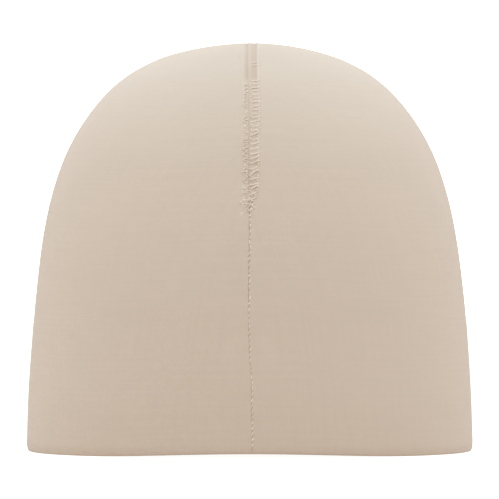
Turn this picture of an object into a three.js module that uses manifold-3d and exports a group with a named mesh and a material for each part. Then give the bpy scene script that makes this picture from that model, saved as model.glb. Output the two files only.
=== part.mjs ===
// A plain cotton beanie, standing on its hem as it would on a table.
// It has two panels of doubled jersey, left and right, whose one seam runs up the front, over the
// crown and down the back. Over the crown the seam is flat-locked, and shows as a band on both
// faces of the cloth. Below the band it is a thin line of stitches that goes down to the hem.
// Millimetres, +Z up. The origin is the middle of the hem, on the surface that the hat stands on.
// The front is the -Y side, and the back is finished like it.
import * as THREE from "three";
import { mergeVertices } from "three/addons/utils/BufferGeometryUtils.js";
import Module from "manifold-3d";

const wasm = await Module();
wasm.setup();

// The hat's outside sizes
const HEM_WIDTH = 172; // left to right, at the hem
const HEM_DEPTH = 191; // front to back, at the hem
const HAT_HEIGHT = 156.8;

// The cloth
const CLOTH = 2; // thickness of the two plies together
const FOLD_HEIGHT = 1.1; // the hem's fold, from the table up to where the wall is straight
const HEM_LIFT = 1.3; // how far the seam pulls the hem off the table, front and back
const LIFT_REACH = 64; // how far to each side of the seam that pull is felt
const CLEARANCE = 0.3; // between any two pieces

// The flat-locked band over the crown
const BAND_END_HEIGHT = 90; // where it ends, front and back, above the table
const BAND_LEFT = 2.5; // how far it reaches to the left of the seam, as seen from the front
const BAND_RIGHT = 4.1;
const BAND_TAPER = 9; // length of the narrowing end
const BAND_TIP = 0.25; // the tip's width, as a share of the band's
const BAND_THICKNESS = 0.7;
const BAND_RISE = 0.3; // how far it stands out from the cloth
const BAND_EASE = 0.25; // bevel along its edges
const INSIDE_BAND_THICKNESS = 0.4;
const INSIDE_BAND_RISE = 0.2;

// The thin seam from the band's end down to the hem
const SEAM_WIDTH = 0.8;
const SEAM_THICKNESS = 0.5;
const SEAM_SINK = 0.1; // how far it lies below the face of the cloth
const SEAM_FOOT = 2.5; // how far above the hem's edge it stops

// How finely the pieces are divided
const COLUMNS = 24; // round one panel, from the front seam to the back seam
const ROWS = 22; // of a panel, from the crown down to the hem
const BAND_STEPS = 44;
const SEAM_STEPS = 10;

// Level sections of the hat, from the hem up to the crown. Height, width and depth are shares of
// the hat's sizes. Squareness is the exponent of the oval: 2 is an ellipse, more is squarer.
const SECTIONS = [
  { height: 0, width: 1, depth: 1, squareness: 2.5 },
  { height: 0.13, width: 0.992, depth: 0.996, squareness: 2.5 },
  { height: 0.26, width: 0.977, depth: 0.985, squareness: 2.45 },
  { height: 0.39, width: 0.957, depth: 0.967, squareness: 2.4 },
  { height: 0.52, width: 0.927, depth: 0.93, squareness: 2.35 },
  { height: 0.63, width: 0.884, depth: 0.876, squareness: 2.3 },
  { height: 0.73, width: 0.82, depth: 0.805, squareness: 2.25 },
  { height: 0.82, width: 0.725, depth: 0.705, squareness: 2.2 },
  { height: 0.9, width: 0.593, depth: 0.57, squareness: 2.15 },
  { height: 0.955, width: 0.43, depth: 0.41, squareness: 2.1 },
  { height: 0.988, width: 0.226, depth: 0.215, squareness: 2.05 },
  { height: 1, width: 0, depth: 0, squareness: 2 },
];

// The hem's fold, from the outer face round to the inner one. Inward is a share of the cloth's
// thickness and height a share of the fold's. Its middle lies flat on the table.
const FOLD = [
  { inward: 0.07, height: 0.4 },
  { inward: 0.22, height: 0 },
  { inward: 0.78, height: 0 },
  { inward: 0.93, height: 0.4 },
];

const HALF_WIDTH = HEM_WIDTH / 2 - CLEARANCE / 2; // of one panel, which starts beside the seam
const HALF_DEPTH = HEM_DEPTH / 2;
const CROWN = 0.5; // the meridian's own parameter at the crown
const PROBE = 1e-3; // the step that slopes are measured over
const UP = new THREE.Vector3(0, 0, 1);

// The hat's meridian as one curve, from the hem over the crown and down the far side, where the
// width and depth are negative. X holds the half width, Y the half depth and Z the height.
function hatMeridian() {
  const rise = SECTIONS.map(
    ({ height, width, depth }) =>
      new THREE.Vector3(width * HALF_WIDTH, depth * HALF_DEPTH, height * HAT_HEIGHT),
  );
  const fall = rise
    .slice(0, -1)
    .reverse()
    .map((p) => new THREE.Vector3(-p.x, -p.y, p.z));
  return new THREE.CatmullRomCurve3([...rise, ...fall], false, "centripetal");
}

const MERIDIAN = hatMeridian();

function squarenessAt(height) {
  const share = THREE.MathUtils.clamp(height / HAT_HEIGHT, 0, 1);
  const above = Math.max(
    1,
    SECTIONS.findIndex((s) => s.height >= share),
  );
  const low = SECTIONS[above - 1];
  const high = SECTIONS[above];
  const between = (share - low.height) / (high.height - low.height);
  return THREE.MathUtils.lerp(low.squareness, high.squareness, between);
}

// How far the hem is pulled up at a distance from the seam
function hemLift(fromSeam) {
  const share = Math.min(1, Math.abs(fromSeam) / LIFT_REACH);
  return HEM_LIFT * (1 - share ** 2) ** 2;
}

const signedPower = (value, power) => Math.sign(value) * Math.abs(value) ** power;

// A point of the outer face. Angle is -90 degrees at the front seam, 0 at the side and 90 at the
// back seam. Along is the meridian's parameter, 0 at the hem.
function outerPoint(angle, along) {
  const reach = MERIDIAN.getPoint(along);
  const power = 2 / squarenessAt(reach.z);
  const x = reach.x * signedPower(Math.cos(angle), power);
  const y = reach.y * signedPower(Math.sin(angle), power);
  return new THREE.Vector3(x, y, reach.z + hemLift(x) * (1 - reach.z / HAT_HEIGHT));
}

function outwardNormal(angle, along) {
  if (along > CROWN - PROBE) {
    return UP.clone();
  }
  const round = outerPoint(angle + PROBE, along).sub(outerPoint(angle - PROBE, along));
  const climb = outerPoint(angle, along + PROBE).sub(outerPoint(angle, Math.max(0, along - PROBE)));
  const normal = round.cross(climb);
  return (along > 0 ? normal : normal.setZ(0)).normalize();
}

// One column of a panel: the outer face from the crown down, the fold, and the inner face back up
function panelColumn(angle, steps) {
  const outer = steps.map((along) => outerPoint(angle, along));
  const normals = steps.map((along) => outwardNormal(angle, along));
  const inner = outer.map((p, i) => p.clone().addScaledVector(normals[i], -CLOTH));
  const hem = outer.at(-1).clone();
  const fold = FOLD.map(({ inward, height }) => {
    const p = hem.clone().addScaledVector(normals.at(-1), -inward * CLOTH);
    return p.setZ(hem.z + height * FOLD_HEIGHT);
  });
  outer.at(-1).z += FOLD_HEIGHT;
  inner.at(-1).z += FOLD_HEIGHT;
  return [...outer, ...fold, ...inner.reverse()];
}

function solidGeometry(positions, triangles) {
  const geometry = new THREE.BufferGeometry();
  geometry.setAttribute("position", new THREE.Float32BufferAttribute(positions, 3));
  geometry.setIndex(triangles);
  return geometry;
}

// A panel on the right (side 1) or the left (side -1), before the seam's grooves are cut into it.
// The columns all start and end at the crown. The first and the last are the cloth's cut edges, in
// the plane of the seam, and are closed across.
function panelGeometry(side) {
  const steps = Array.from({ length: ROWS + 1 }, (_, i) => CROWN * (1 - i / ROWS));
  const columns = Array.from({ length: COLUMNS + 1 }, (_, i) =>
    panelColumn((i / COLUMNS - 0.5) * Math.PI, steps),
  );
  const last = columns[0].length - 1;
  const positions = columns.flat().flatMap((p) => [side * (p.x + CLEARANCE / 2), p.y, p.z]);
  const triangles = [];
  const face = (...corners) => {
    const ring = side > 0 ? corners : corners.reverse();
    for (let i = 2; i < ring.length; i += 1) {
      triangles.push(ring[0], ring[i - 1], ring[i]);
    }
  };
  const at = (column, row) => {
    const pole = row === 0 || row === last;
    return (pole ? 0 : column) * (last + 1) + row;
  };
  for (let c = 0; c < COLUMNS; c += 1) {
    face(at(c, 0), at(c, 1), at(c + 1, 1));
    for (let r = 1; r < last - 1; r += 1) {
      face(at(c, r), at(c, r + 1), at(c + 1, r + 1), at(c + 1, r));
    }
    face(at(c, last - 1), at(c, last), at(c + 1, last - 1));
  }
  for (let r = 0; 2 * r < last - 1; r += 1) {
    const far = last - r;
    face(at(0, r), at(0, far), at(0, far - 1), at(0, r + 1));
    face(at(COLUMNS, r), at(COLUMNS, r + 1), at(COLUMNS, far - 1), at(COLUMNS, far));
  }
  return solidGeometry(positions, triangles);
}

// The seam's own line on the cloth's outer face, in the plane between the panels. Its parameter
// runs from 0 at the front hem to 1 at the back hem.
function seamLine(along) {
  const reach = MERIDIAN.getPoint(along);
  return new THREE.Vector3(0, -reach.y, reach.z + HEM_LIFT * (1 - reach.z / HAT_HEIGHT));
}

function seamNormal(along) {
  const run = seamLine(Math.min(1, along + PROBE)).sub(seamLine(Math.max(0, along - PROBE)));
  return new THREE.Vector3(0, -run.z, run.y).normalize();
}

// The seam's parameter where it passes a height on the front
function seamAtHeight(height) {
  let low = 0;
  let high = CROWN;
  while (high - low > 1e-6) {
    const middle = (low + high) / 2;
    if (seamLine(middle).z < height) {
      low = middle;
    } else {
      high = middle;
    }
  }
  return low;
}

const evenly = (from, to, steps) =>
  Array.from({ length: steps + 1 }, (_, i) => THREE.MathUtils.lerp(from, to, i / steps));

// A flat strip that follows the seam's line through some of its parameters. Left and right are its
// reach from the seam, and near and far its faces' distances out from the face of the cloth. Its
// far corners are bevelled, and shareAt gives the share of its width that is left at each place.
function seamStrip({ stations, left, right, near, far, bevel = 0, margin = 0, shareAt }) {
  const outwards = Math.sign(far - near);
  const corners = [
    { across: -left, out: near },
    { across: -left, out: far - outwards * bevel },
    { across: bevel - left, out: far },
    { across: right - bevel, out: far },
    { across: right, out: far - outwards * bevel },
    { across: right, out: near },
  ].filter((_, i) => bevel > 0 || (i !== 1 && i !== 4));
  const sides = corners.length;
  const positions = stations.flatMap((along) => {
    const centre = seamLine(along);
    const normal = seamNormal(along);
    const share = shareAt ? shareAt(along) : 1;
    return corners.flatMap(({ across, out }) => {
      const p = centre.clone().addScaledVector(normal, out);
      return [across * share + Math.sign(across) * margin, p.y, p.z];
    });
  });
  const triangles = [];
  const face = (a, b, c) => triangles.push(...(outwards > 0 ? [a, c, b] : [a, b, c]));
  const end = (stations.length - 1) * sides;
  for (let here = 0; here < end; here += sides) {
    for (let k = 0; k < sides; k += 1) {
      const next = (k + 1) % sides;
      face(here + k, here + sides + k, here + sides + next);
      face(here + k, here + sides + next, here + next);
    }
  }
  for (let k = 2; k < sides; k += 1) {
    face(0, k - 1, k);
    face(end, end + k, end + k - 1);
  }
  return solidGeometry(positions, triangles);
}

// The band's width as a share of its full width: full over the crown, less towards its two ends
const BAND_FROM = seamAtHeight(BAND_END_HEIGHT);
const BAND_FULL = seamAtHeight(BAND_END_HEIGHT + BAND_TAPER);
const bandShare = (along) =>
  THREE.MathUtils.mapLinear(
    THREE.MathUtils.smoothstep(Math.min(along, 1 - along), BAND_FROM, BAND_FULL),
    0,
    1,
    BAND_TIP,
    1,
  );
const BAND_STATIONS = evenly(BAND_FROM, 1 - BAND_FROM, BAND_STEPS);

const outsideBand = {
  stations: BAND_STATIONS,
  left: BAND_LEFT,
  right: BAND_RIGHT,
  near: BAND_RISE - BAND_THICKNESS,
  far: BAND_RISE,
  bevel: BAND_EASE,
  shareAt: bandShare,
};

const insideBand = {
  ...outsideBand,
  near: INSIDE_BAND_THICKNESS - INSIDE_BAND_RISE - CLOTH,
  far: -INSIDE_BAND_RISE - CLOTH,
  bevel: 0,
};

const frontSeam = {
  stations: evenly(
    seamAtHeight(HEM_LIFT + SEAM_FOOT),
    seamAtHeight(BAND_END_HEIGHT - CLEARANCE),
    SEAM_STEPS,
  ),
  left: SEAM_WIDTH / 2,
  right: SEAM_WIDTH / 2,
  near: -SEAM_SINK - SEAM_THICKNESS,
  far: -SEAM_SINK,
};

const backSeam = {
  ...frontSeam,
  stations: frontSeam.stations.map((along) => 1 - along).reverse(),
};

// The groove that a strip lies in: the strip grown by the clearance, and open to the outside
function grooveFor(strip) {
  const outwards = Math.sign(strip.far - strip.near);
  const first = strip.stations[0];
  const last = strip.stations.at(-1);
  const extra = PROBE;
  return seamStrip({
    ...strip,
    stations: [first - extra, ...strip.stations, last + extra],
    near: strip.near - outwards * CLEARANCE,
    far: strip.far + outwards * CLOTH,
    bevel: 0,
    margin: CLEARANCE,
  });
}

function solidFrom(geometry) {
  const merged = mergeVertices(geometry, 1e-3);
  return new wasm.Manifold(
    new wasm.Mesh({
      numProp: 3,
      vertProperties: merged.attributes.position.array,
      triVerts: new Uint32Array(merged.index.array),
    }),
  );
}

function geometryFrom(solid) {
  const { vertProperties, triVerts } = solid.getMesh();
  return solidGeometry(vertProperties, Array.from(triVerts));
}

const grooves = [outsideBand, insideBand, frontSeam, backSeam].map((strip) =>
  solidFrom(grooveFor(strip)),
);

const cutPanel = (side) =>
  geometryFrom(grooves.reduce((cloth, groove) => cloth.subtract(groove), solidFrom(panelGeometry(side))));

const jersey = new THREE.MeshStandardMaterial({ color: 0xc9b7a4, roughness: 0.95, metalness: 0 });
const thread = new THREE.MeshStandardMaterial({ color: 0xd6c9ba, roughness: 0.8, metalness: 0 });

const beanie = new THREE.Group();

function addPiece(name, geometry, material) {
  const mesh = new THREE.Mesh(geometry, material);
  mesh.name = name;
  beanie.add(mesh);
}

addPiece("panel_left", cutPanel(-1), jersey);
addPiece("panel_right", cutPanel(1), jersey);
addPiece("crown_seam", seamStrip(outsideBand), thread);
addPiece("crown_seam_inside", seamStrip(insideBand), thread);
addPiece("seam_front", seamStrip(frontSeam), thread);
addPiece("seam_back", seamStrip(backSeam), thread);

export default beanie;
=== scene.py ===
"""A plain beanie of doubled cotton jersey, standing on its hem on a white floor. Metres."""

import math

import bpy
import numpy as np
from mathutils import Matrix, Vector, noise


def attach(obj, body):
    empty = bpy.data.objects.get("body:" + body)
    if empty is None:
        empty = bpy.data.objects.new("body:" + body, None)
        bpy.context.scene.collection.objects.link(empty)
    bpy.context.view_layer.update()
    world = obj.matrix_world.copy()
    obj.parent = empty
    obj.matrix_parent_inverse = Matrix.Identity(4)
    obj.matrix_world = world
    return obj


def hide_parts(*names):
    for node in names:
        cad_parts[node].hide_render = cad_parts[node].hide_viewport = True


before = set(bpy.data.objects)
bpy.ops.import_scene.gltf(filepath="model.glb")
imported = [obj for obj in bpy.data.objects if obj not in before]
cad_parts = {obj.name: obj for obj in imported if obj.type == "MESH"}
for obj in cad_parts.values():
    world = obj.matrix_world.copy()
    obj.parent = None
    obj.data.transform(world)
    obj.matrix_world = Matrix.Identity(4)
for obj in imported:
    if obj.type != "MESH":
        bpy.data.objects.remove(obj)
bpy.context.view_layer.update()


# The two panels
# Each is a half of the hat: two plies of fine cotton jersey in one wall, folded at the hem.
# The left and the right one meet in the seam that runs up the front, over the crown and down the
# back. The seam pulls the hem up a little, and beside it the cloth dips.

HEM_WIDTH = 0.172
HEM_DEPTH = 0.191
HAT_HEIGHT = 0.1568
CLOTH = 0.002  # the two plies together
HEM_LIFT = 0.0013  # of the hem off the floor, at the seam
LIFT_REACH = 0.064  # of that lift, to each side of the seam

# Above this height the seam is a flat-locked band, and below it a thin groove.
BAND_END_HEIGHT = 0.090
BAND_FADE_START = 0.001  # above the band's end
BAND_FADE_LENGTH = 0.008

# Where the band is let into the cloth
LET_IN_DEPTH = 0.00035
LET_IN_LEFT = 0.0023
LET_IN_RIGHT = 0.0031
LET_IN_EDGE = 0.00012  # how soft its edge is

# The groove below the band, and the wider dip round it
GROOVE_DEPTH = 0.00050
GROOVE_WIDTH = 0.00021
DIP_DEPTH = 0.00014
DIP_WIDTH = 0.0015
GROOVE_SHARES = ((0.005, 0.45), (0.030, 0.55), (0.070, 0.75), (0.090, 0.9))  # height, share
SEAM_SWAY = (  # height, way to the right of the middle
    (0.003, 0.0008),
    (0.021, 0.0008),
    (0.029, 0.0006),
    (0.037, 0.0001),
    (0.048, -0.0003),
    (0.067, -0.0003),
    (0.084, 0),
    (0.096, 0),
)
SWAY_REACH = 0.03  # how far from the seam the cloth goes with it

# Low waves all over, and small ripples beside the seam
WAVE_DEPTH = 0.00022
WAVE_SIZE = 0.045
RIPPLE_DEPTH = 0.00016
RIPPLE_SIZE = 0.009
RIPPLE_REACH = 0.006
INNER_RELIEF = 0.4  # the share of the relief that the wall's inner face has

# The hem's soft outer corner
HEM_ROLL = 0.0004
HEM_ROLL_HEIGHT = 0.004

# How finely a panel is divided
CLOSE_COLUMNS = (  # millimetres from the seam
    0, 0.09, 0.18, 0.28, 0.4, 0.56, 0.8, 1.1, 1.5, 1.9, 2.15, 2.3, 2.45, 2.7, 2.95, 3.1,
    3.25, 3.5, 3.9, 4.5, 5.3, 6.3, 7.5, 9, 10.7, 12.7, 15,
)
FIRST_EVEN_COLUMN = 0.0175
FRONT_SPACING = 0.0025
SIDE_SPACING = 0.0026
ROWS = 128
FOLD_STEPS = 9
PROFILE_STEPS = 2000
CREASE = math.radians(55)

# Height, width and depth are shares of the hat's sizes. Squareness is the exponent of the oval.
SECTIONS = [
    {"height": 0, "width": 1, "depth": 1, "squareness": 2.5},
    {"height": 0.13, "width": 0.992, "depth": 0.996, "squareness": 2.5},
    {"height": 0.26, "width": 0.977, "depth": 0.985, "squareness": 2.45},
    {"height": 0.39, "width": 0.957, "depth": 0.967, "squareness": 2.4},
    {"height": 0.52, "width": 0.927, "depth": 0.93, "squareness": 2.35},
    {"height": 0.63, "width": 0.884, "depth": 0.876, "squareness": 2.3},
    {"height": 0.73, "width": 0.82, "depth": 0.805, "squareness": 2.25},
    {"height": 0.82, "width": 0.725, "depth": 0.705, "squareness": 2.2},
    {"height": 0.9, "width": 0.593, "depth": 0.57, "squareness": 2.15},
    {"height": 0.955, "width": 0.43, "depth": 0.41, "squareness": 2.1},
    {"height": 0.988, "width": 0.226, "depth": 0.215, "squareness": 2.05},
    {"height": 1, "width": 0, "depth": 0, "squareness": 2},
]

JERSEY_COLOUR = (0.752, 0.605, 0.485)
# Darker colour where the band's cloth is pressed flat, and painted shade in its sunken channels.
PRESSED_AND_SHADE_CHANGE = (-0.120, -0.125, -0.118)  # of the colour, where the cloth is pressed flat
WALE = 0.00085  # width of one column of stitches
COURSE = 0.00062  # height of one row
KNIT_DEPTH = 0.00012


def profile(share):
    """Half width, half depth and height for shares of the way from the hem to the crown."""
    rise = np.array(
        [
            (s["width"] * HEM_WIDTH / 2, s["depth"] * HEM_DEPTH / 2, s["height"] * HAT_HEIGHT)
            for s in SECTIONS
        ]
    )
    knots = np.vstack([2 * rise[0] - rise[1], rise, rise[-2] * (-1, -1, 1)])
    spans = np.sqrt(np.linalg.norm(np.diff(knots, axis=0), axis=1))
    place = np.clip(np.asarray(share, float), 0, 1) * (len(rise) - 1)
    i = np.minimum(place.astype(int), len(rise) - 2)
    w = (place - i)[..., None]
    p0, p1, p2, p3 = (knots[i + k] for k in range(4))
    d0, d1, d2 = (spans[i + k][..., None] for k in range(3))
    slope1 = d1 * ((p1 - p0) / d0 - (p2 - p0) / (d0 + d1) + (p2 - p1) / d1)
    slope2 = d1 * ((p2 - p1) / d1 - (p3 - p1) / (d1 + d2) + (p3 - p2) / d2)
    return (
        p1
        + slope1 * w
        + (3 * (p2 - p1) - 2 * slope1 - slope2) * w**2
        + (2 * (p1 - p2) + slope1 + slope2) * w**3
    )


def outer_point(angle, share):
    """A point of the cloth's face. The angle runs from -90 degrees at the front seam to 90
    degrees at the back one."""
    reach = profile(share)
    heights = [s["height"] * HAT_HEIGHT for s in SECTIONS]
    power = 2 / np.interp(reach[..., 2], heights, [s["squareness"] for s in SECTIONS])
    x = reach[..., 0] * np.sign(np.cos(angle)) * np.abs(np.cos(angle)) ** power
    y = reach[..., 1] * np.sign(np.sin(angle)) * np.abs(np.sin(angle)) ** power
    pull = HEM_LIFT * (1 - np.minimum(1, np.abs(x) / LIFT_REACH) ** 2) ** 2
    return np.stack([x, y, reach[..., 2] + pull * (1 - reach[..., 2] / HAT_HEIGHT)], -1)


def outward(angle, share):
    """The cloth's outward normal."""
    step = 1e-3
    around = outer_point(angle + step, share) - outer_point(angle - step, share)
    climb = outer_point(angle, np.minimum(share + step, 1)) - outer_point(
        angle, np.maximum(share - step, 0)
    )
    normal = np.cross(around, climb)
    normal[share > 1 - 1.5 * step] = (0, 0, 1)
    hem = share <= 0
    normal[hem, 2] = 0
    return normal / np.linalg.norm(normal, axis=-1, keepdims=True)


def soft_noise(points, size, seed):
    """Smooth noise from about -1 to 1, with features of that size. Each seed reads it at another
    place."""
    flat = points.reshape(-1, 3) / size + seed * 7.3
    return np.array([noise.noise(Vector(p)) for p in flat]).reshape(points.shape[:-1])


def read_table(table, places):
    """The values at some places, between the rows of a table of places and values."""
    known_places, known_values = zip(*table)
    return np.interp(places, known_places, known_values)


def under_band(height):
    """1 where the band lies over the seam and 0 where the cloth is plain, with a soft change."""
    w = np.clip((height - BAND_END_HEIGHT - BAND_FADE_START) / BAND_FADE_LENGTH, 0, 1)
    return w * w * (3 - 2 * w)


def cloth_relief(points, side):
    """How far the cloth stands out from its plain form: lower where the band is let in, in the
    seam's groove and at the hem's corner, and with soft waves all over."""
    from_seam = np.abs(points[..., 0])
    height = points[..., 2]
    covered = under_band(height)
    reach = LET_IN_LEFT if side < 0 else LET_IN_RIGHT
    let_in = LET_IN_DEPTH / (1 + np.exp((from_seam - reach) / LET_IN_EDGE))
    share = read_table(GROOVE_SHARES, height)
    groove = share * GROOVE_DEPTH * np.exp(-((from_seam / GROOVE_WIDTH) ** 2))
    groove += share * DIP_DEPTH * np.exp(-((from_seam / DIP_WIDTH) ** 2))
    waves = WAVE_DEPTH * soft_noise(points, WAVE_SIZE, side)
    ripples = RIPPLE_DEPTH * soft_noise(points, RIPPLE_SIZE, 2 + side)
    ripples = ripples * np.exp(-from_seam / RIPPLE_REACH)
    hem_roll = HEM_ROLL * np.clip(1 - height / HEM_ROLL_HEIGHT, 0, 1) ** 2
    return waves + ripples - (1 - covered) * groove - covered * let_in - hem_roll


def column_angles():
    """Angles round one panel, close together beside the seam."""
    squareness = SECTIONS[0]["squareness"]
    corner = 0.5 ** (1 / squareness)
    even = np.arange(FIRST_EVEN_COLUMN, corner * HEM_WIDTH / 2, FRONT_SPACING)
    across = np.concatenate([np.array(CLOSE_COLUMNS) / 1000, even])
    along = np.arange(SIDE_SPACING, corner * HEM_DEPTH / 2, SIDE_SPACING)[::-1]
    power = squareness / 2
    quarter = np.concatenate(
        [
            np.arccos((across / (HEM_WIDTH / 2)) ** power),
            np.arcsin((along / (HEM_DEPTH / 2)) ** power),
        ]
    )
    return np.concatenate([-quarter, [0], quarter[::-1]])


def even_shares(steps):
    """Shares from the crown to the hem, evenly spaced along the profile."""
    fine = np.linspace(0, 1, PROFILE_STEPS)
    way = np.cumsum(np.linalg.norm(np.diff(profile(fine), axis=0), axis=1))
    way = np.concatenate([[0], way / way[-1]])
    return np.interp(np.linspace(1, 0, steps), way, fine)


def build_panel(side):
    """The fine mesh of one panel, with the way across the wales and along them as its UV map."""
    angles, shares = column_angles(), even_shares(ROWS)
    angle, share = np.meshgrid(angles, shares, indexing="ij")
    face = outer_point(angle, share)
    normal = outward(angle, share)
    relief = cloth_relief(face * (side, 1, 1), side)
    outer = face + normal * relief[..., None]
    inner = face - normal * (CLOTH + INNER_RELIEF * relief)[..., None]
    radius = CLOTH / 2
    outer[:, -1, 2] = inner[:, -1, 2] = face[:, -1, 2] + radius
    middle = (outer[:, -1] + inner[:, -1]) / 2
    half = (outer[:, -1] - inner[:, -1]) / 2
    turn = np.linspace(0, math.pi, FOLD_STEPS)[1:-1]
    fold = middle[:, None] + half[:, None] * np.cos(turn)[None, :, None]
    fold[..., 2] -= radius * np.sin(turn)
    grid = np.concatenate([outer, fold, inner[:, ::-1]], axis=1)
    sway = read_table(SEAM_SWAY, grid[..., 2])
    grid[..., 0] += side * sway * np.clip(1 - grid[..., 0] / SWAY_REACH, 0, 1) ** 2

    down = np.cumsum(np.linalg.norm(np.diff(grid, axis=1), axis=2), axis=1)
    v = np.pad(down, ((0, 0), (1, 0)))
    v -= v[:, [len(shares) - 1]]
    round_it = np.cumsum(np.linalg.norm(np.diff(grid, axis=0), axis=2), axis=0)
    u = np.pad(round_it, ((1, 0), (0, 0)))
    u -= u[[len(angles) // 2]]

    columns, rows = grid.shape[:2]
    index = np.arange(columns * rows).reshape(columns, rows)
    index[:, 0], index[:, -1] = index[0, 0], index[0, -1]
    quads = np.stack([index[:-1, :-1], index[:-1, 1:], index[1:, 1:], index[1:, :-1]], axis=-1)
    faces = quads.reshape(-1, 4).tolist()
    for ring, order in ((index[0], 1), (index[-1], -1)):
        near, far = ring[: rows // 2].tolist(), ring[::-1][: rows // 2].tolist()
        edge = zip(near, far, far[1:], near[1:])
        faces += [list(corners)[::order] for corners in edge]
    faces = [list(dict.fromkeys(f))[::side] for f in faces]
    mesh = bpy.data.meshes.new("panel")
    mesh.from_pydata((grid.reshape(-1, 3) * (side, 1, 1)).tolist(), [], faces)
    add_uv(mesh, u, v)
    mesh.shade_smooth()
    mesh.set_sharp_from_angle(angle=CREASE)
    return mesh


def add_uv(mesh, u, v):
    """The UV map named cloth, in metres, from one value for each vertex."""
    corners = np.empty(len(mesh.loops), dtype=np.int32)
    mesh.loops.foreach_get("vertex_index", corners)
    uv = mesh.uv_layers.new(name="cloth")
    uv.data.foreach_set("uv", np.stack([u.ravel(), v.ravel()], axis=1)[corners].ravel())


def add_node(tree, kind, inputs=None, **settings):
    """A node with its settings, its inputs given as values or as other nodes' sockets."""
    node = tree.nodes.new(kind)
    for name, value in settings.items():
        setattr(node, name, value)
    for key, value in (inputs or {}).items():
        if isinstance(value, bpy.types.NodeSocket):
            tree.links.new(value, node.inputs[key])
        else:
            node.inputs[key].default_value = value
    return node


def calculate(tree, operation, *values):
    """The result of a Math node."""
    return add_node(tree, "ShaderNodeMath", dict(enumerate(values)), operation=operation).outputs[0]


def calculate_vector(tree, operation, inputs):
    """The result of a Vector Math node."""
    return add_node(tree, "ShaderNodeVectorMath", inputs, operation=operation).outputs["Vector"]


def knit_group():
    """Plain jersey: columns of small V stitches, with uneven yarn. Gives a height, and a shade
    factor that paints shade where the stitches lie low.
    """
    tree = bpy.data.node_groups.new("jersey knit", "ShaderNodeTree")
    sockets = tree.interface
    sockets.new_socket("Place", in_out="INPUT", socket_type="NodeSocketVector")
    sockets.new_socket("Wale", in_out="INPUT", socket_type="NodeSocketFloat")
    sockets.new_socket("Course", in_out="INPUT", socket_type="NodeSocketFloat")
    sockets.new_socket("Height", in_out="OUTPUT", socket_type="NodeSocketFloat")
    sockets.new_socket("Shade", in_out="OUTPUT", socket_type="NodeSocketFloat")
    given = add_node(tree, "NodeGroupInput").outputs
    place = add_node(tree, "ShaderNodeSeparateXYZ", {0: given["Place"]}).outputs

    # Each wale is two rounded legs of a V, and its line sways a little.
    sway = add_node(
        tree, "ShaderNodeTexNoise", {"Vector": given["Place"], "Scale": 160.0, "Detail": 1.0}
    ).outputs["Fac"]
    across = calculate(tree, "ADD", calculate(tree, "DIVIDE", place[0], given["Wale"]), sway)
    within = calculate(tree, "FRACT", across)
    from_middle = calculate(tree, "ABSOLUTE", calculate(tree, "SUBTRACT", within, 0.5))
    leg = calculate(tree, "MULTIPLY", calculate(tree, "SUBTRACT", from_middle, 0.25), 4.0)
    leg = calculate(tree, "SUBTRACT", 1.0, calculate(tree, "MULTIPLY", leg, leg))

    # Along the wale, each course bulges. It lies higher at the wale's sides than in its middle.
    slant = calculate(tree, "MULTIPLY", from_middle, 1.5)
    along = calculate(tree, "DIVIDE", place[1], given["Course"])
    turn = calculate(tree, "MULTIPLY", calculate(tree, "ADD", along, slant), 2 * math.pi)
    bulge = calculate(tree, "MULTIPLY_ADD", calculate(tree, "COSINE", turn), 0.28, 0.72)
    height = calculate(tree, "MULTIPLY", leg, bulge)

    # The colour darkens where the stitches lie low, a painted shade, with patches of uneven yarn
    # and dye.
    shade = calculate(tree, "MULTIPLY_ADD", height, 0.10, 0.93)
    for width, length, strength in (
        (0.0010, 0.030, 0.050),
        (0.040, 0.0011, 0.065),
        (0.030, 0.030, 0.030),
        (0.0022, 0.0030, 0.030),
    ):
        spot = calculate_vector(
            tree, "MULTIPLY", {0: given["Place"], 1: (1 / width, 1 / length, 1)}
        )
        fac = add_node(
            tree, "ShaderNodeTexNoise", {"Vector": spot, "Scale": 1.0, "Detail": 2.0}
        ).outputs["Fac"]
        uneven = calculate(tree, "MULTIPLY", calculate(tree, "SUBTRACT", fac, 0.5), strength)
        shade = calculate(tree, "ADD", shade, uneven)
    add_node(tree, "NodeGroupOutput", {"Height": height, "Shade": shade})
    return tree


def jersey_material(knit):
    """Warm sand cotton jersey, matt, with a soft bloom where it is seen at a slant. It is darker
    between the stitches, a painted shade, and darker where an attribute says that it is pressed
    flat, which also paints shade into the band's sunken channels."""
    material = bpy.data.materials.new("jersey")
    material.use_nodes = True
    tree = material.node_tree
    shader = tree.nodes["Principled BSDF"]
    place = add_node(tree, "ShaderNodeUVMap", uv_map="cloth").outputs[0]
    group = add_node(tree, "ShaderNodeGroup", node_tree=knit)
    tree.links.new(place, group.inputs["Place"])
    group.inputs["Wale"].default_value = WALE
    group.inputs["Course"].default_value = COURSE
    # The darkening of pressed cloth, with painted shade in the band's sunken channels.
    flat = add_node(tree, "ShaderNodeAttribute", attribute_name="pressed_and_shade").outputs["Fac"]
    colour = calculate_vector(tree, "MULTIPLY_ADD", {0: flat, 1: PRESSED_AND_SHADE_CHANGE, 2: JERSEY_COLOUR})
    tinted = calculate_vector(tree, "SCALE", {0: colour, "Scale": group.outputs["Shade"]})
    relief = {"Height": group.outputs["Height"], "Distance": KNIT_DEPTH, "Strength": 0.7}
    bump = add_node(tree, "ShaderNodeBump", relief).outputs[0]
    tree.links.new(tinted, shader.inputs["Base Color"])
    tree.links.new(bump, shader.inputs["Normal"])
    shader.inputs["Roughness"].default_value = 0.95
    shader.inputs["Specular IOR Level"].default_value = 0.2
    shader.inputs["Sheen Weight"].default_value = 0.25
    shader.inputs["Sheen Roughness"].default_value = 0.5
    return material


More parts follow.
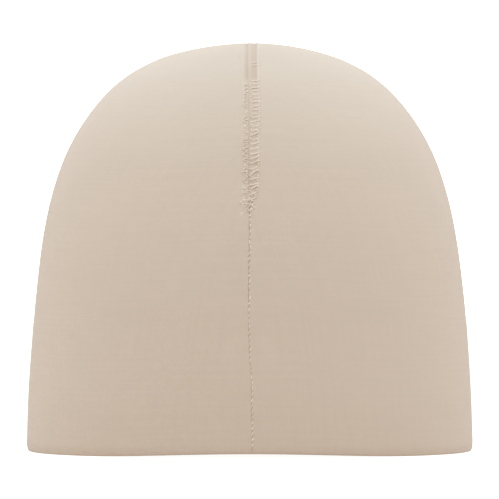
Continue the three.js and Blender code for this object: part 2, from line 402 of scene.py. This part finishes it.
jersey = jersey_material(knit_group())
for panel_name, panel_side in (("panel_left", -1), ("panel_right", 1)):
    panel = bpy.data.objects.new(panel_name + "_cloth", build_panel(panel_side))
    bpy.context.scene.collection.objects.link(panel)
    panel.data.materials.append(jersey)
    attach(panel, "root")
    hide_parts(panel_name)


# The flat-locked band over the crown
# The two panels' edges are laid flat and sewn over, nearly flush with the cloth, with a ladder of
# threads on the right and small loops on the left. The ends fray out softly. Over the crown's top
# the edges lie bare and pressed, but for one short stretch of rungs. The cloth is darker in the
# band's sunken channels, pressed and with painted shade, most of all where the edges lie bare.

LADDER_PITCH = 0.0020
LADDER_TOP = 0.1405
BAND_BACK = -0.0011
BAND_END_SINK = 0.00045  # how far the band's ends go down into the cloth
BARE_OVERLAP = 0.001  # how far below the ladder's top the cloth begins to lie bare
BARE_FADE = 0.003
# Under threads the darkening, pressed cloth with painted shade, is this share of that where the
# edges lie bare.
SEWN_PRESSED_AND_SHADE = 0.2  # how pressed the cloth looks under threads, as a share of where it is bare

# Millimetres to the right of the seam and above the cloth. "Bare" and "sewn" are the heights
# without threads and under them, and the last column is how flat and dark the cloth is: pressed
# flat, and painted shade in the sunken channels.
BAND_RIBS = [
    {"across": -3.1, "bare": -0.25, "sewn": -0.25, "pressed_and_shade": 0},
    {"across": -2.7, "bare": -0.04, "sewn": -0.04, "pressed_and_shade": 0.15},
    {"across": -2.3, "bare": -0.02, "sewn": -0.02, "pressed_and_shade": 0.4},
    {"across": -1.8, "bare": -0.03, "sewn": -0.03, "pressed_and_shade": 0.7},
    {"across": -1.3, "bare": -0.05, "sewn": -0.04, "pressed_and_shade": 1},
    {"across": -0.95, "bare": -0.10, "sewn": -0.05, "pressed_and_shade": 1},
    {"across": -0.8, "bare": -0.16, "sewn": -0.05, "pressed_and_shade": 1},
    {"across": -0.66, "bare": -0.06, "sewn": -0.06, "pressed_and_shade": 0.8},
    {"across": -0.5, "bare": 0.06, "sewn": -0.16, "pressed_and_shade": 0.6},
    {"across": -0.3, "bare": 0.08, "sewn": -0.40, "pressed_and_shade": 0.5},
    {"across": -0.1, "bare": 0.06, "sewn": -0.20, "pressed_and_shade": 0.6},
    {"across": 0.1, "bare": 0.03, "sewn": -0.06, "pressed_and_shade": 0.6},
    {"across": 0.4, "bare": -0.02, "sewn": -0.04, "pressed_and_shade": 0.8},
    {"across": 1.0, "bare": -0.05, "sewn": -0.05, "pressed_and_shade": 1},
    {"across": 1.7, "bare": -0.07, "sewn": -0.06, "pressed_and_shade": 1},
    {"across": 2.4, "bare": -0.07, "sewn": -0.06, "pressed_and_shade": 1},
    {"across": 2.65, "bare": -0.02, "sewn": -0.04, "pressed_and_shade": 0.9},
    {"across": 2.85, "bare": 0.08, "sewn": -0.02, "pressed_and_shade": 0.2},
    {"across": 3.15, "bare": 0.09, "sewn": 0.0, "pressed_and_shade": 0},
    {"across": 3.5, "bare": 0.02, "sewn": -0.02, "pressed_and_shade": 0},
    {"across": 3.85, "bare": -0.25, "sewn": -0.25, "pressed_and_shade": 0},
]

# Tables of heights above the floor and values
RUNG_STRETCHES = ((0.0915, LADDER_TOP), (0.1466, 0.1478))
RUNG_WIDTHS = ((0.0915, 0.45), (0.0935, 0.6), (0.097, 0.85), (0.101, 1), (0.128, 1), (0.135, 0.9))
RUNG_LEANS = ((0.121, 0.33), (0.131, 0.0))
RUNG_LOOSENESS = ((0.104, 1.0), (0.130, 0.3))
RUNG_LIFT = 0.00008  # of the threads off the cloth, where the band has ended
LOOPS_START = 0.0913
LOOPS_END = LADDER_TOP - 0.002
LOOP_WIDTHS = ((0.097, 1.45), (0.105, 1.15), (0.115, 1.0))
LOOP_LOOSENESS = ((0.100, 1.0), (0.130, 0.5))
LOOP_LIFT = 0.00006
TAIL_TOP = 0.106
ROW_STEPS = 200

THREAD_COLOUR = (0.850, 0.730, 0.620)


def seam_path(low, high=None, steps=300):
    """Evenly spaced places on the seam and their outward normals. They run up the front from one
    height to another, or over the crown and down the back to the first height again."""
    fine = 3000
    share = np.linspace(0, 1, fine)
    front = outer_point(np.full(fine, -math.pi / 2), share)
    ways = np.concatenate([[0], np.cumsum(np.linalg.norm(np.diff(front, axis=0), axis=1))])
    first = np.interp(low, front[:, 2], ways)
    last = np.interp(high, front[:, 2], ways) if high else 2 * ways[-1] - first
    way = np.linspace(first, last, steps)
    behind = way > ways[-1]
    share = np.interp(np.where(behind, 2 * ways[-1] - way, way), ways, share)
    angle = np.where(behind, math.pi / 2, -math.pi / 2)
    return outer_point(angle, share), outward(angle, share)


def strip_mesh(name, centres, normals, across, back, heights, pressed_and_shade):
    """A closed strip along the seam. Each place has a row of points across its face, at their own
    heights above the cloth, and the same row at one height on its back."""
    along_x = across[..., None] * (1, 0, 0)
    face = centres[:, None] + along_x + normals[:, None] * heights[..., None]
    behind = centres[:, None] + along_x + normals[:, None] * back
    ring = np.concatenate([face, behind[:, ::-1]], axis=1)
    steps, sides = ring.shape[:2]
    index = np.arange(steps * sides).reshape(steps, sides)
    after = np.roll(index, -1, axis=1)
    quads = np.stack([index[:-1], after[:-1], after[1:], index[1:]], axis=-1)
    faces = quads.reshape(-1, 4).tolist() + [index[0, ::-1].tolist(), index[-1].tolist()]
    mesh = bpy.data.meshes.new(name)
    mesh.from_pydata(ring.reshape(-1, 3).tolist(), [], faces)
    along = np.cumsum(np.linalg.norm(np.diff(centres, axis=0), axis=1))
    v = np.repeat(np.pad(along, (1, 0))[:, None], sides, axis=1)
    add_uv(mesh, np.concatenate([across, across[:, ::-1]], axis=1), v)
    # How dark the cloth is drawn: pressed flat, and painted shade in the band's channels.
    pressed_and_shade_layer = mesh.attributes.new("pressed_and_shade", "FLOAT", "POINT")
    values = np.concatenate([pressed_and_shade, pressed_and_shade[:, ::-1]], axis=1)
    pressed_and_shade_layer.data.foreach_set("value", values.ravel().astype(np.float32))
    mesh.shade_smooth()
    return mesh


def stitch_tree():
    """A bent thread at each pitch of a path, turned to the path and to the cloth it lies on. The
    path's own values say how wide, leaning and loose the threads are at each place."""
    tree = bpy.data.node_groups.new("stitches along a seam", "GeometryNodeTree")
    for name, kind in (
        ("Path", "NodeSocketGeometry"),
        ("Pitch", "NodeSocketFloat"),
        ("Start", "NodeSocketVector"),
        ("Middle", "NodeSocketVector"),
        ("End", "NodeSocketVector"),
        ("Thread radius", "NodeSocketFloat"),
        ("Twist", "NodeSocketFloat"),
        ("Spread", "NodeSocketFloat"),
        ("Shift", "NodeSocketFloat"),
        ("Seed", "NodeSocketInt"),
        ("Material", "NodeSocketMaterial"),
    ):
        tree.interface.new_socket(name, in_out="INPUT", socket_type=kind)
    tree.interface.new_socket("Threads", in_out="OUTPUT", socket_type="NodeSocketGeometry")
    given = add_node(tree, "NodeGroupInput").outputs
    line = add_node(tree, "GeometryNodeMeshToCurve", {0: given["Path"]}).outputs[0]
    places = add_node(
        tree, "GeometryNodeResampleCurve", {"Curve": line, "Length": given["Pitch"]}, mode="LENGTH"
    ).outputs[0]

    # One thread
    bend = add_node(
        tree,
        "GeometryNodeCurveQuadraticBezier",
        {"Resolution": 7, "Start": given["Start"], "Middle": given["Middle"], "End": given["End"]},
    ).outputs[0]
    section = add_node(
        tree,
        "GeometryNodeCurvePrimitiveCircle",
        {"Resolution": 7, "Radius": given["Thread radius"]},
    ).outputs[0]
    thread = add_node(
        tree,
        "GeometryNodeCurveToMesh",
        {"Curve": bend, "Profile Curve": section, "Fill Caps": True},
    ).outputs[0]
    thread = add_node(tree, "GeometryNodeSetShadeSmooth", {0: thread}).outputs[0]

    # How it is turned, widened and shifted at each place
    out, width, lean, loose = (
        add_node(
            tree, "GeometryNodeInputNamedAttribute", {"Name": name}, data_type=kind
        ).outputs[0]
        for name, kind in (
            ("outward", "FLOAT_VECTOR"), ("width", "FLOAT"), ("lean", "FLOAT"), ("loose", "FLOAT")
        )
    )
    tangent = add_node(tree, "GeometryNodeInputTangent").outputs[0]
    upright = add_node(
        tree, "FunctionNodeAlignRotationToVector", {"Vector": out}, axis="Z"
    ).outputs[0]
    turned = add_node(
        tree,
        "FunctionNodeAlignRotationToVector",
        {"Rotation": upright, "Vector": tangent},
        axis="Y",
        pivot_axis="Z",
    ).outputs[0]
    seed = given["Seed"]
    stray = calculate(tree, "MULTIPLY", random_value(tree, given["Twist"], seed), loose)
    twist = add_node(tree, "ShaderNodeCombineXYZ", {"Z": calculate(tree, "ADD", stray, lean)})
    turned = add_node(
        tree,
        "FunctionNodeRotateRotation",
        {"Rotation": turned, "Rotate By": twist.outputs[0]},
        rotation_space="LOCAL",
    ).outputs[0]
    spread = random_value(tree, given["Spread"], calculate(tree, "ADD", seed, 1.0))
    spread = calculate(tree, "MULTIPLY_ADD", spread, loose, 1.0)
    size = add_node(
        tree,
        "ShaderNodeCombineXYZ",
        {"X": calculate(tree, "MULTIPLY", width, spread), "Y": 1.0, "Z": 1.0},
    ).outputs[0]
    shifts = [
        random_value(tree, given["Shift"], calculate(tree, "ADD", seed, 2.0 + i)) for i in range(3)
    ]
    shift = add_node(tree, "ShaderNodeCombineXYZ", dict(enumerate(shifts))).outputs[0]
    shift = calculate_vector(tree, "SCALE", {0: shift, "Scale": loose})
    places = add_node(
        tree, "GeometryNodeSetPosition", {"Geometry": places, "Offset": shift}
    ).outputs[0]

    copies = add_node(
        tree,
        "GeometryNodeInstanceOnPoints",
        {"Points": places, "Instance": thread, "Rotation": turned, "Scale": size},
    ).outputs[0]
    whole = add_node(tree, "GeometryNodeRealizeInstances", {0: copies}).outputs[0]
    shown = add_node(
        tree, "GeometryNodeSetMaterial", {"Geometry": whole, "Material": given["Material"]}
    ).outputs[0]
    add_node(tree, "NodeGroupOutput", {0: shown})
    return tree


def random_value(tree, reach, seed):
    """A random number from minus reach to reach."""
    low = calculate(tree, "MULTIPLY", reach, -1.0)
    random = tree.nodes.new("FunctionNodeRandomValue")
    random.data_type = "FLOAT"
    sockets = [s for s in random.inputs if s.enabled]
    for socket, value in zip(sockets, (low, reach)):
        tree.links.new(value, socket)
    tree.links.new(seed, next(s for s in sockets if s.name == "Seed"))
    return next(s for s in random.outputs if s.enabled)


stitches = stitch_tree()


def sew(points, normals, width=1.0, lean=0.0, loose=1.0, **values):
    """The mesh of one row of threads along a path."""
    mesh = bpy.data.meshes.new("path")
    mesh.from_pydata(points.tolist(), [(i, i + 1) for i in range(len(points) - 1)], [])
    mesh.attributes.new("outward", "FLOAT_VECTOR", "POINT").data.foreach_set(
        "vector", normals.ravel()
    )
    for name, value in (("width", width), ("lean", lean), ("loose", loose)):
        spread = np.broadcast_to(value, len(points)).astype(np.float32)
        mesh.attributes.new(name, "FLOAT", "POINT").data.foreach_set("value", spread)
    path = bpy.data.objects.new("path", mesh)
    bpy.context.scene.collection.objects.link(path)
    modifier = path.modifiers.new("stitches", "NODES")
    modifier.node_group = stitches
    sockets = {s.name: s.identifier for s in stitches.interface.items_tree if s.in_out == "INPUT"}
    for name, value in values.items():
        modifier[sockets[name.replace("_", " ").capitalize()]] = value
    evaluated = path.evaluated_get(bpy.context.evaluated_depsgraph_get())
    threads = bpy.data.meshes.new_from_object(evaluated)
    bpy.data.objects.remove(path)
    return threads


def joined(name, meshes):
    """One object of several meshes that share a material."""
    points, faces = [], []
    for mesh in meshes:
        start = len(points)
        points += [tuple(v.co) for v in mesh.vertices]
        faces += [[start + i for i in p.vertices] for p in mesh.polygons]
    whole = bpy.data.meshes.new(name)
    whole.from_pydata(points, [], faces)
    whole.shade_smooth()
    whole.set_sharp_from_angle(angle=math.radians(60))
    piece = bpy.data.objects.new(name, whole)
    bpy.context.scene.collection.objects.link(piece)
    return piece


def thread_material():
    """Pale sewing thread: matt, with an uneven, slightly rough surface."""
    material = bpy.data.materials.new("thread")
    material.use_nodes = True
    tree = material.node_tree
    shader = tree.nodes["Principled BSDF"]
    place = add_node(tree, "ShaderNodeTexCoord").outputs["Object"]
    spots = add_node(
        tree, "ShaderNodeTexNoise", {"Vector": place, "Scale": 1400.0, "Detail": 2.0}
    ).outputs["Fac"]
    shade = calculate(tree, "MULTIPLY_ADD", spots, 0.55, 0.73)
    tinted = calculate_vector(tree, "SCALE", {0: THREAD_COLOUR, "Scale": shade})
    relief = {"Height": spots, "Distance": 0.00006, "Strength": 0.6}
    bump = add_node(tree, "ShaderNodeBump", relief).outputs[0]
    tree.links.new(tinted, shader.inputs["Base Color"])
    tree.links.new(bump, shader.inputs["Normal"])
    shader.inputs["Roughness"].default_value = 0.85
    shader.inputs["Sheen Weight"].default_value = 0.15
    return material


thread = thread_material()

centres, normals = seam_path(BAND_END_HEIGHT)
ribs = {key: np.array([rib[key] for rib in BAND_RIBS]) for key in BAND_RIBS[0]}
across = np.broadcast_to(ribs["across"] / 1000, (len(centres), len(BAND_RIBS)))
bare = np.clip((centres[:, 2] - LADDER_TOP + BARE_OVERLAP) / BARE_FADE, 0, 1)[:, None]
heights = (ribs["bare"] * bare + ribs["sewn"] * (1 - bare)) / 1000
heights = heights - BAND_END_SINK * (1 - under_band(centres[:, 2]))[:, None]
# Darker colour where the band's cloth is pressed, with painted shade in its sunken channels, most
# where the edges lie bare.
pressed_and_shade = ribs["pressed_and_shade"] * (SEWN_PRESSED_AND_SHADE + (1 - SEWN_PRESSED_AND_SHADE) * bare)
band = bpy.data.objects.new(
    "crown_seam_cloth", strip_mesh("band", centres, normals, across, BAND_BACK, heights, pressed_and_shade)
)
bpy.context.scene.collection.objects.link(band)
band.data.materials.append(jersey)
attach(band, "root")
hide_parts("crown_seam")


def lifted_path(low, high, lift, turn):
    """A stretch of the front seam, a little off the cloth where the band has ended, or its mirror
    image at the back. Gives its places, their normals and their heights."""
    points, outs = seam_path(low, high, ROW_STEPS)
    height = points[:, 2]
    points = points + outs * lift * (1 - under_band(height))[:, None]
    return points * (1, turn, 1), outs * (1, turn, 1), height


def ladder_rows(turn):
    """The threads of the band's front half, or mirrored, of its back half."""
    rows = []
    for low, high in RUNG_STRETCHES:
        points, outs, height = lifted_path(low, high, RUNG_LIFT, turn)
        shared = {
            "width": read_table(RUNG_WIDTHS, height),
            "lean": turn * read_table(RUNG_LEANS, height),
            "loose": read_table(RUNG_LOOSENESS, height),
            "pitch": LADDER_PITCH,
            "material": thread,
        }
        rungs = sew(
            points, outs, **shared, start=(0.00045, 0, -0.0001), middle=(0.0020, 0.0001, 0.0002),
            end=(0.0037, 0.0002, -0.0001), thread_radius=0.00026, twist=0.22, spread=0.10,
            shift=0.0002, seed=3,
        )
        right_rail = sew(
            points, outs, **shared, start=(0.0035, 0, -0.0001), middle=(0.0040, 0.0006, 0.0006),
            end=(0.0036, 0.0012, -0.0001), thread_radius=0.00022, twist=0.25, spread=0.08,
            shift=0.0002, seed=5,
        )
        rows += [rungs, right_rail]

    points, outs, height = lifted_path(LOOPS_START, LOOPS_END, LOOP_LIFT, turn)
    loose = read_table(LOOP_LOOSENESS, height)
    for x, seed in ((0.0002, 7), (-0.0019, 17)):
        knots = sew(
            points, outs, loose=loose, pitch=LADDER_PITCH, start=(x, -0.0002, -0.0001),
            middle=(x + 0.0003, 0.0002, 0.0008), end=(x + 0.0004, 0.0006, -0.0001),
            thread_radius=0.00021, twist=0.8, spread=0.4, shift=0.0003, seed=seed, material=thread,
        )
        rows.append(knots)
    left_loops = sew(
        points, outs, width=read_table(LOOP_WIDTHS, height), loose=loose, pitch=LADDER_PITCH,
        start=(-0.0006, -0.0008, -0.0001), middle=(-0.0039, 0.0001, 0.0005),
        end=(-0.0006, 0.0008, -0.0001), thread_radius=0.00017, twist=0.5, spread=0.22,
        shift=0.00025, seed=11, material=thread,
    )
    tail = height < TAIL_TOP
    frayed_tail = sew(
        points[tail], outs[tail], pitch=0.9 * LADDER_PITCH, start=(-0.0018, -0.0004, -0.0001),
        middle=(-0.0002, 0.0012, 0.0003), end=(0.0015, 0.0003, -0.0001), thread_radius=0.00015,
        twist=0.8, spread=0.3, shift=0.0004, seed=13, material=thread,
    )
    return rows + [left_loops, frayed_tail]


threads = joined("crown_seam_threads", ladder_rows(1) + ladder_rows(-1))
threads.data.materials.append(thread)
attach(threads, "root")


# The band's inner face
# The same seam seen from inside the hat: a flat strip of cloth edges, narrower at its two ends,
# under two rows of loops.

INNER_LEFT = -0.0025
INNER_RIGHT = 0.0041
INNER_RIBS = (-0.3, 0.1, 0.15, 0.1, 0.15, 0.1, 0.15, 0.1, -0.3)  # millimetres off the cloth
INNER_BACK = 0.0006  # into the cloth
INNER_TAPER = 0.009  # length of the narrowing end
INNER_TIP = 0.25  # the tip's width, as a share of the strip's

way_in = np.clip((centres[:, 2] - BAND_END_HEIGHT) / INNER_TAPER, 0, 1)
taper = INNER_TIP + (1 - INNER_TIP) * way_in
inner_across = taper[:, None] * np.linspace(INNER_LEFT, INNER_RIGHT, len(INNER_RIBS))
inner_heights = np.broadcast_to(-CLOTH - np.array(INNER_RIBS) / 1000, inner_across.shape)
# The inner strip gets none of the pressed darkening or its painted shade.
no_pressed_and_shade = 0 * inner_across
inner_band = bpy.data.objects.new(
    "crown_seam_inside_cloth",
    strip_mesh(
        "inside", centres, normals, inner_across, -CLOTH + INNER_BACK, inner_heights, no_pressed_and_shade
    ),
)
inner_band.data.flip_normals()
bpy.context.scene.collection.objects.link(inner_band)
inner_band.data.materials.append(jersey)
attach(inner_band, "root")
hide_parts("crown_seam_inside")
inside = centres - normals * (CLOTH + 0.0001)
rows = [
    sew(
        inside, -normals, width=taper, pitch=LADDER_PITCH, start=(x, -0.0012, 0.0001),
        middle=(x + 0.0014, 0.0001, 0.0006), end=(x, 0.0013, 0.0001),
        thread_radius=0.00022, twist=0.2, spread=0.1, shift=0.0, seed=20 + i, material=thread,
    )
    for i, x in enumerate((-0.0034, 0.0012))
]
inner_threads = joined("crown_seam_inside_threads", rows)
inner_threads.data.materials.append(thread)
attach(inner_threads, "root")


# The thin seams, front and back
# Below the band the seam is only a groove, in which one row of small stitches shows. A second
# thread runs unbroken behind it, between the plies.

STITCH_PITCH = 0.0021
SEAM_FOOT = 0.0045  # above the floor
SEAM_TOP = BAND_END_HEIGHT + 0.006
ROW_DEPTH = 0.00003
CORE_DEPTH = 0.0009

for name, turn in (("seam_front", 1), ("seam_back", -1)):
    points, outs = seam_path(SEAM_FOOT, SEAM_TOP, steps=160)
    points[:, 0] += read_table(SEAM_SWAY, points[:, 2])
    points, outs = points * (1, turn, 1), outs * (1, turn, 1)
    row = sew(
        points - outs * ROW_DEPTH, outs, pitch=STITCH_PITCH, start=(-0.0001, -0.0006, -0.0002),
        middle=(0.0002, 0, 0.0003), end=(0.0003, 0.0006, -0.0002), thread_radius=0.00025,
        twist=0.45, spread=0.25, shift=0.00018, seed=31, material=thread,
    )
    core = sew(
        points - outs * CORE_DEPTH, outs, pitch=STITCH_PITCH, start=(0, -0.0011, 0),
        middle=(0.0001, 0, 0.0001), end=(0, 0.0011, 0), thread_radius=0.00018, twist=0.05,
        spread=0.0, shift=0.0, seed=33, material=thread,
    )
    seam = joined(name + "_threads", [row, core])
    seam.data.materials.append(thread)
    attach(seam, "root")
    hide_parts(name)


# The white floor
# A large plain disc just under the hem. It shines softly on the hat's foot, is white to the
# camera, and shows a faint contact shadow.

FLOOR_COLOUR = (0.34, 0.32, 0.30, 1)
GLOW_COLOUR = (1.0, 0.953, 0.895, 1)
GLOW_STRENGTH = 0.38
WHITE_COLOUR = (0.986, 0.996, 1.0, 1)  # added to the glow, for the camera
WHITE_STRENGTH = 0.575


def white_floor():
    """A soft grey that glows, and glows more where the camera sees it."""
    material = bpy.data.materials.new("floor")
    material.use_nodes = True
    tree = material.node_tree
    tree.nodes.remove(tree.nodes["Principled BSDF"])
    look = add_node(tree, "ShaderNodeBsdfDiffuse", {"Color": FLOOR_COLOUR}).outputs[0]
    seen = add_node(tree, "ShaderNodeLightPath").outputs["Is Camera Ray"]
    white = calculate(tree, "MULTIPLY", seen, WHITE_STRENGTH)
    for colour, strength in ((GLOW_COLOUR, GLOW_STRENGTH), (WHITE_COLOUR, white)):
        glow = {"Color": colour, "Strength": strength}
        glowing = add_node(tree, "ShaderNodeEmission", glow).outputs[0]
        look = add_node(tree, "ShaderNodeAddShader", {0: look, 1: glowing}).outputs[0]
    tree.links.new(look, tree.nodes["Material Output"].inputs["Surface"])
    return material


bpy.ops.mesh.primitive_circle_add(vertices=96, radius=4, fill_type="NGON", location=(0, 0, -0.0001))
floor = bpy.context.object
floor.name = "floor"
floor.data.materials.append(white_floor())


# The light
# A soft surround: warm and dim low down, bright and cool overhead, brighter behind the hat than
# before it. The camera sees it as white.

LOW_LIGHT = (0.746, 0.590, 0.470)
MORE_BEHIND = (0.275, 0.268, 0.262)
MORE_ABOVE = (0.516, 0.786, 0.988)
MORE_OVERHEAD = (0.279, 0.508, 0.665)
MORE_FOR_CAMERA = (1.5, 1.5, 1.5)

world = bpy.data.worlds.new("surround")
bpy.context.scene.world = world
world.use_nodes = True
sky = world.node_tree
direction = add_node(sky, "ShaderNodeTexCoord").outputs["Generated"]
facing = add_node(sky, "ShaderNodeSeparateXYZ", {0: direction}).outputs
overhead = calculate(sky, "MULTIPLY", facing["Z"], facing["Z"])
seen = add_node(sky, "ShaderNodeLightPath").outputs["Is Camera Ray"]
light = LOW_LIGHT
for value, colour in (
    (facing["Y"], MORE_BEHIND),
    (facing["Z"], MORE_ABOVE),
    (overhead, MORE_OVERHEAD),
    (seen, MORE_FOR_CAMERA),
):
    light = calculate_vector(sky, "MULTIPLY_ADD", {0: value, 1: colour, 2: light})
sky.links.new(light, sky.nodes["Background"].inputs["Color"])


# The camera
# Level with the middle of the hat and far in front of it, as in the photograph. The colours are
# shown as they are, without a film look.

scene = bpy.context.scene
scene.view_settings.view_transform = "Standard"

lens = bpy.data.cameras.new("camera")
lens.lens = 429.8
lens.clip_end = 50
camera = bpy.data.objects.new("camera", lens)
camera.location = (-0.0001, -2.3, 0.0771)
camera.rotation_euler = (math.radians(90), 0, 0)
scene.collection.objects.link(camera)
scene.camera = camera
